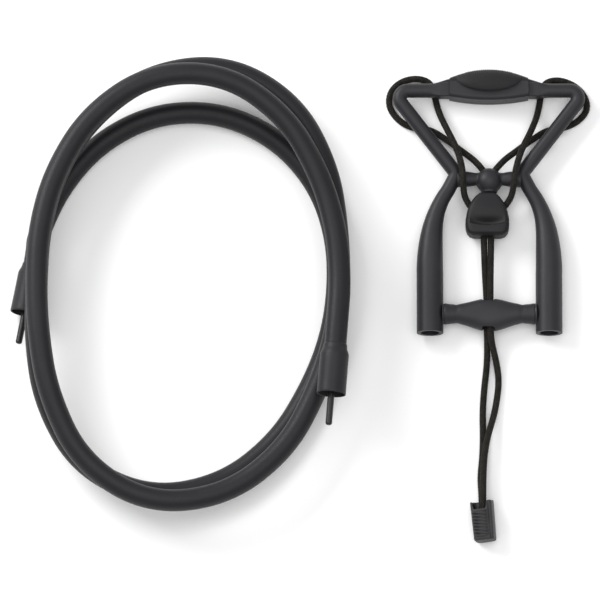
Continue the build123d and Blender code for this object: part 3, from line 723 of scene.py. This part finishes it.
def superellipse(count, power):
    """Unit points of a rounded square."""
    out = []
    for number in range(count):
        turn = 2 * math.pi * number / count
        across, along = math.cos(turn), math.sin(turn)
        out.append(
            (
                math.copysign(abs(across) ** (2 / power), across),
                math.copysign(abs(along) ** (2 / power), along),
            )
        )
    return out


def box_cutter(low, high, round_by):
    """A rounded box along Y that cuts a slot; corners in millimetres."""
    centre_x, half_x = (low[0] + high[0]) / 2, (high[0] - low[0]) / 2
    centre_z, half_z = (low[2] + high[2]) / 2, (high[2] - low[2]) / 2
    rings = []
    for up in (low[1], high[1]):
        rings.append(
            [
                at(centre_x + half_x * across, up, centre_z + half_z * along)
                for across, along in superellipse(40, round_by)
            ]
        )
    return loft(rings)


def cut_away(made, parts):
    """Subtracts closed meshes from an object."""
    for points, faces in parts:
        mesh = bpy.data.meshes.new("cutter")
        mesh.from_pydata([tuple(point) for point in points], [], faces)
        cutter = bpy.data.objects.new("cutter", mesh)
        bpy.context.collection.objects.link(cutter)
        fix_normals(cutter)
        cut = made.modifiers.new("cut", "BOOLEAN")
        cut.operation = "DIFFERENCE"
        cut.object = cutter
        cut.solver = "EXACT"
        keep_modifiers(made)
        bpy.data.objects.remove(cutter)
        bpy.data.meshes.remove(mesh)


def shade_by_angle(made, degrees):
    """Smooth shading that keeps edges sharper than an angle."""
    work = bmesh.new()
    work.from_mesh(made.data)
    for face in work.faces:
        face.smooth = True
    for edge in work.edges:
        sharp = len(edge.link_faces) == 2 and edge.calc_face_angle() > math.radians(degrees)
        edge.smooth = not sharp
    work.to_mesh(made.data)
    work.free()


# ---- yoke ----------------------------------------------------------------
BALL_UP = WAIST_UP - 1.2
BALL_RADIUS = 7.9
# Distance from the waist's middle and radius, along X and along Y.
WAIST_ARMS = [
    (-19.2, 5.0), (-16.6, 4.8), (-12.6, 4.6), (-9.6, 4.1), (-8.2, 3.8),
    (8.2, 3.8), (9.6, 4.1), (12.6, 4.6), (16.6, 4.8), (19.2, 5.0),
]
WAIST_NECK = [(-8.7, 4.9), (-6.2, 5.1), (0.0, 7.0)]

LOZENGE_REACH = 28.4
LOZENGE_SWELL = 20.5                           # where the swollen middle ends
LOZENGE_ARM = 5.9                              # half of an arm's height
LOZENGE_ARM_DEPTH = 5.75
LOZENGE_DEEPER = 1.3                           # how much deeper the middle is
LOZENGE_UPPER = 9.3                            # reach of the middle, up and down
LOZENGE_LOWER = 10.6
LOZENGE_SLOT = ((-4.6, -5.0, 3.4), (3.1, 30.0, 12.7))


def make_waist():
    """Ball on a thin bridge at the elbows, filleted into its arms and neck."""
    centre = at(0, WAIST_UP, TUBE_Z)
    parts = [
        ball(at(0, BALL_UP, TUBE_Z), BALL_RADIUS),
        lathe(centre, Vector((1, 0, 0)), WAIST_ARMS),
        lathe(centre, Vector((0, 1, 0)), WAIST_NECK),
    ]
    made = smooth_union("waist", parts, NYLON)
    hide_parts("waist_bridge")
    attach(made, "yoke")


def lozenge_ring(x):
    """The lozenge bridge's outline at one place across it."""
    swell = (0.5 + 0.5 * math.cos(math.pi * min(abs(x) / LOZENGE_SWELL, 1.0))) ** 0.92
    waist = 0.35 * hump(abs(x), 19.8, 1.8)
    flare = 0.5 * smoothstep((abs(x) - 22.5) / 5.0)
    groove = 0.35 * hump(abs(x), 27.3, 0.3)
    change = flare - waist - groove
    depth = LOZENGE_ARM_DEPTH + change + LOZENGE_DEEPER * swell
    ring = []
    for up, z in superellipse(56, 2.0 + 0.4 * swell):
        peak = LOZENGE_UPPER if up > 0 else LOZENGE_LOWER
        height = LOZENGE_ARM + change + (peak - LOZENGE_ARM) * swell
        ring.append(at(x, LOWER_UP + height * up, LEG_Z + depth * z))
    return ring


def make_lozenge():
    """Lozenge bridge between the legs: a swollen middle on round arms.

    Each arm has a narrow waist beside the middle, and a flare and a groove at the leg.
    """
    last = 189
    rings = [
        lozenge_ring(-LOZENGE_REACH + 2 * LOZENGE_REACH * number / last)
        for number in range(last + 1)
    ]
    points, faces = loft(rings)
    made = add_mesh("lozenge", points, faces, NYLON)
    fix_normals(made)
    cut_away(made, [box_cutter(*LOZENGE_SLOT, 5.0)])
    shade_by_angle(made, 40)
    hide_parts("lower_bridge")
    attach(made, "yoke")


PAD_BASE = BAR_UP + 4.3
PAD_HALF = 23.9
PAD_SHOULDER = 2.6                             # height over the base at the ends
PAD_RISE = 7.7                                 # and in the middle
PAD_GAP = 0.02                                 # keeps the pad off its cradle
PAD_BACK = 0.5
PAD_FLAT = 11.5                                # where the top starts to bend over
LENS_HALF = 19.4
LENS_DROP = 6.4
LENS_RISE = 4.0
CRADLE_FRONT = 15.9
PAD_RIB_PITCH = 1.3
PAD_RIB_HEIGHT = 0.42


def pad_section(x):
    """Closed loop round the pad at one place across it: height above the mouths, z."""
    groove = 0.45 * smoothstep((abs(x) - PAD_HALF + 0.55) / 0.5)
    crown = PAD_SHOULDER + (PAD_RISE - PAD_SHOULDER) * max(1 - (x / PAD_HALF) ** 2, 0.0)
    lens = max(1 - (abs(x) / LENS_HALF) ** 2.1, 0.0) ** 0.75
    rise = LENS_RISE * lens ** 0.8 - groove
    top, front = PAD_BASE + crown - groove, CRADLE_FRONT + rise
    base = PAD_BASE + PAD_GAP + 0.8 * window(abs(x), 17.0, 22.6, 1.5, 0.6)
    low = base - LENS_DROP * lens
    points = [(PAD_BASE + PAD_GAP, PAD_BACK), (top - 0.9, PAD_BACK), (top - 0.1, 1.4)]
    points += [(top, 4.0), (top, 8.0), (top, PAD_FLAT)]
    reach = top - (PAD_BASE - 0.25 * LENS_DROP * lens)
    for number in range(1, 13):
        turn = math.pi / 2 * number / 12
        up = top - reach * (1 - math.cos(turn))
        points.append((up, PAD_FLAT + (front - PAD_FLAT) * math.sin(turn)))
    start = points[-1][0]
    for number in range(1, 10):
        share = number / 9
        up = start + (low + 0.25 * lens - start) * share
        points.append((up, front - rise * 0.28 * share ** 2.2))
    for over, sink in ((0.05, 0.36), (0.0, 0.6), (0.1, 0.85)):
        points.append((low + over * lens, front - sink * rise))
    points += [(low + 0.8 * lens, CRADLE_FRONT + PAD_GAP), (base, CRADLE_FRONT - 0.2)]
    points += [(base, CRADLE_FRONT - 5.0), (PAD_BASE + PAD_GAP, CRADLE_FRONT - 5.5)]
    return points


def make_pad():
    """Rubber pad: an almond cushion over the bar, finely ribbed along its crown."""
    rings = []
    last = 259
    for number in range(last + 1):
        x = -(PAD_HALF - 0.03) * math.cos(math.pi * number / last)
        rib = 0.5 - 0.5 * math.cos(2 * math.pi * x / PAD_RIB_PITCH)
        ribbed = smoothstep((15.5 - abs(x)) / 3.0)
        ring = []
        for index, (up, z) in enumerate(pad_section(x)):
            # The ribs are highest at the section's tenth point, on the bend of the top.
            lift = PAD_RIB_HEIGHT * hump(index, 9.0, 4.5) * ribbed * rib
            ring.append(at(x, up + lift, z + lift * 0.4))
        rings.append(ring)
    points, faces = loft(rings)
    made = add_mesh("pad", points, faces, PAD)
    fix_normals(made)
    shade_by_angle(made, 50)
    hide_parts("top_pad")
    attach(made, "yoke")


# ---- cord lock -----------------------------------------------------------
# Height above the mouths and half-width of the lock's outline.
LOCK_OUTLINE = [
    (58.6, 6.6), (58.9, 9.0), (59.9, 11.1), (61.4, 12.3), (63.6, 13.0), (66.4, 13.2), (68.9, 13.1),
    (72.0, 12.6), (74.6, 12.0), (77.2, 11.1), (79.4, 10.0), (81.4, 8.7), (83.4, 7.1), (84.8, 5.4),
    (85.5, 3.9), (85.8, 2.6),
]
LOCK_HALF = 13.1                               # half of its width
LOCK_GAP = 0.15                                # between each half and the split
LOCK_BACK = 1.4
DOME_Z, DOME_SLOPE = 16.8, 2.3                 # the lever's face, and its fall to the hinge
DISH_DEPTH = 3.3
LEDGE_UP, LEDGE_Z = 65.5, 17.2
SWING_HALF, SWING_RADIUS = 9.6, 4.3            # room for the lever's knuckle
CHANNEL_RADIUS = 2.35
CHANNEL_START = 5                              # the strand's first point at the lock


def outline_width(up):
    for (low, first), (high, second) in zip(LOCK_OUTLINE, LOCK_OUTLINE[1:]):
        if up <= high:
            return first + (second - first) * (up - low) / (high - low)
    return LOCK_OUTLINE[-1][1]


def lever_front(x, up):
    """Height of the lever's face: a dome above, a thumb dish and a ledge below it."""
    across = (x - LOCK_X) / LOCK_HALF
    dome = DOME_Z - DOME_SLOPE * smoothstep((up - 74.0) / 12.5) - 0.9 * across ** 2
    edge = LEDGE_UP + 1.3 * (abs(x - LOCK_X) / 10.0) ** 2
    dish = DISH_DEPTH * hump(up - edge, 0.7, 3.1) * max(1 - (across / 0.8) ** 2, 0) ** 0.8
    ledge = LEDGE_Z - 0.5 * across ** 2 - 1.3 * smoothstep((60.8 - up) / 2.6)
    above = dome - dish
    if up > edge:
        return above
    return above + (ledge - above) * smoothstep((edge - up) / 1.1)


def lock_shell(name, front):
    """Closed half of the lock between the split and its face, which is rounded at its rim."""
    rows, columns = 110, 84
    low, high = LOCK_OUTLINE[0][0], LOCK_OUTLINE[-1][0]
    split = LOCK_SPLIT + (LOCK_GAP if front else -LOCK_GAP)
    face_points, back_points = [], []
    for row in range(rows):
        share = 0.5 - 0.5 * math.cos(math.pi * row / (rows - 1))
        up = low + (high - low) * share
        half = outline_width(up)
        end_drop = (1 - abs(2 * share - 1) ** 18) ** 0.5
        for column in range(columns):
            part = math.sin(math.pi / 2 * (2 * column / (columns - 1) - 1))
            x = LOCK_X + half * part
            side_drop = max(1 - abs(part) ** 11, 0.0) ** 0.5
            depth = side_drop * end_drop
            if front:
                face = split + (lever_front(x, up) - split) * (0.34 + 0.66 * depth)
            else:
                face = split - (split - LOCK_BACK) * (0.30 + 0.70 * depth)
            face_points.append(at(x, up, face))
            back_points.append(at(x, up, split))
    points = face_points + back_points
    total = rows * columns
    faces = []
    for row in range(rows - 1):
        for column in range(columns - 1):
            a = row * columns + column
            faces.append((a, a + 1, a + columns + 1, a + columns))
            faces.append((total + a, total + a + columns, total + a + columns + 1, total + a + 1))
    rim = list(range(columns)) + [row * columns + columns - 1 for row in range(1, rows)]
    rim += [(rows - 1) * columns + column for column in range(columns - 2, -1, -1)]
    rim += [row * columns for row in range(rows - 2, 0, -1)]
    for first, second in zip(rim, rim[1:] + rim[:1]):
        faces.append((first, second, total + second, total + first))
    made = add_mesh(name, points, faces, LOCK)
    fix_normals(made)
    return made


def cord_channel(route):
    """Cutter for a strand's way through the lock, drawn out past its lower mouth."""
    line = nurbs_line([at(*point) for point in route[CHANNEL_START:]])
    line.append(line[-1] + (line[-1] - line[-2]).normalized() * 4 * MM)
    rings = [
        circle(centre, side, up, CHANNEL_RADIUS, 24)
        for centre, (_, side, up) in zip(line, frames_along(line))
    ]
    return loft(rings)


def make_lock():
    """The lock's lever and base, with the strands' channels cut through both."""
    lever = lock_shell("lock_lever_shell", True)
    base = lock_shell("lock_base_shell", False)
    hinge = at(LOCK_X - SWING_HALF, HINGE_UP, HINGE_Z)
    knuckle = [(0.0, SWING_RADIUS), (2 * SWING_HALF, SWING_RADIUS)]
    swing_room = lathe(hinge, Vector((1, 0, 0)), knuckle)
    channels = [cord_channel(route) for route in (STRAND_LEFT, STRAND_RIGHT)]
    cut_away(lever, channels)
    cut_away(base, channels + [swing_room])
    for made in (lever, base):
        shade_by_angle(made, 42)
    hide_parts("lock_lever")
    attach(lever, "lever")
    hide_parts("lock_base")
    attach(base, "lock")


# ---- cord end ------------------------------------------------------------
TAB_WIDTH, TAB_LENGTH, TAB_DEPTH = 12.9, 23.8, 11.0
TAB_LEAN = math.radians(5.0)
TAB_ROLL = math.radians(12.5)
TAB_TOP = (-5.0, -103.5)
TAB_LIP = 0.35                                 # depth of the rounded edge round the mouth
TAB_EDGE = 1.4                                 # rounding of the closed end
TAB_MOUTH, TAB_MOUTH_REACH = 4.7, 6.0          # depth of the mouth's notch, and where it ends
TAB_RIB = 2.0                                  # from one rib to the next
TAB_RIB_START, TAB_RIB_SLOPE = 4.6, 0.22
TAB_RIB_HEIGHT, TAB_RIB_FLOOR = 0.95, 0.45
TAB_SEAM_X, TAB_SEAM_WIDTH, TAB_SEAM_DEPTH = 4.45, 0.38, 0.55


def tab_axes():
    """The middle of the cord end's top, and its directions down, across and to the front."""
    down = Vector((math.sin(TAB_LEAN), -math.cos(TAB_LEAN), 0))
    side = Vector((-math.cos(TAB_LEAN), -math.sin(TAB_LEAN), 0))
    front = side * math.sin(TAB_ROLL) + Vector((0, 0, math.cos(TAB_ROLL)))
    across = (-down).cross(front)
    middle_z = TAB_DEPTH / 2 * math.cos(TAB_ROLL) + TAB_WIDTH / 2 * math.sin(TAB_ROLL)
    return at(TAB_TOP[0], TAB_TOP[1], middle_z), down, across, front


def make_tab():
    """Ribbed sleeve on the two cord ends, open at the top, with a seam beside the ribs."""
    origin, down_way, across_way, front_way = tab_axes()
    outline = superellipse(120, 5.5)
    rings = []

    def add_ring(down, shrink, outside=True):
        """One ring of the sleeve, so far down it and so far inside its outline."""
        taper = 1.035 - 0.07 * max(down, 0.0) / TAB_LENGTH
        ring = []
        for across, front in outline:
            x = across * (TAB_WIDTH / 2 - shrink) * taper
            out = front * (TAB_DEPTH / 2 - shrink)
            place = down
            facing = smoothstep((front - 0.55) / 0.4)
            if down < TAB_MOUTH_REACH:
                notch = TAB_MOUTH * facing * window(x, -5.6, 3.9, 1.3, 1.3)
                back = 1.2 * smoothstep((0.4 - front) / 1.2)
                place = down + (notch - back) * (1 - down / TAB_MOUTH_REACH)
            if outside:
                phase = (place - TAB_RIB_START - x * TAB_RIB_SLOPE) / TAB_RIB
                wave = (0.5 - 0.5 * math.cos(2 * math.pi * phase)) ** 0.6
                ribbed = window(x, -6.2, 3.5, 0.6, 0.7)
                ribbed *= window(place, 5.3, TAB_LENGTH - 1.6, 0.8, 1.0)
                seam = hump(x, TAB_SEAM_X, TAB_SEAM_WIDTH) * smoothstep(place / 2.0)
                out += facing * (TAB_RIB_HEIGHT * wave * ribbed - TAB_RIB_FLOOR)
                out -= facing * TAB_SEAM_DEPTH * seam
            ring.append(
                origin + down_way * place * MM + across_way * x * MM + front_way * out * MM
            )
        rings.append(ring)

    for down, shrink in ((7.5, 1.5), (1.2, 1.25), (0.15, 1.1), (0.0, 0.75)):
        add_ring(down, shrink, outside=False)
    add_ring(0.0, 0.35)
    add_ring(TAB_LIP, 0.05)
    steps = 150
    for number in range(1, steps):
        add_ring(TAB_LIP + (TAB_LENGTH - TAB_LIP - TAB_EDGE) * number / steps, 0.0)
    for number in range(9):
        turn = math.pi / 2 * number / 8
        down = TAB_LENGTH - TAB_EDGE + TAB_EDGE * math.sin(turn)
        add_ring(down, TAB_EDGE * (1 - math.cos(turn)))
    points, faces = loft(rings)
    made = add_mesh("cord_end", points, faces, TAB)
    fix_normals(made)
    shade_by_angle(made, 55)
    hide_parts("tab_front", "tab_back")
    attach(made, "yoke")
    return made


# ---- build ---------------------------------------------------------------
make_camera()
make_studio()
make_cords()
make_turn()
make_hoop()
make_tails([make_tab(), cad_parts["cord_knot"]])
make_waist()
make_lozenge()
make_pad()
make_lock()

for look, nodes in (
    (NYLON, ("left_rail", "right_rail", "top_cradle")),
    (BUSH, ("left_bush", "right_bush")),
    (STEEL, ("seam_pins", "pad_screws", "lock_pin", "lock_spring")),
    (BRAID, ("cord_knot",)),
):
    for node in nodes:
        dress(node, look)
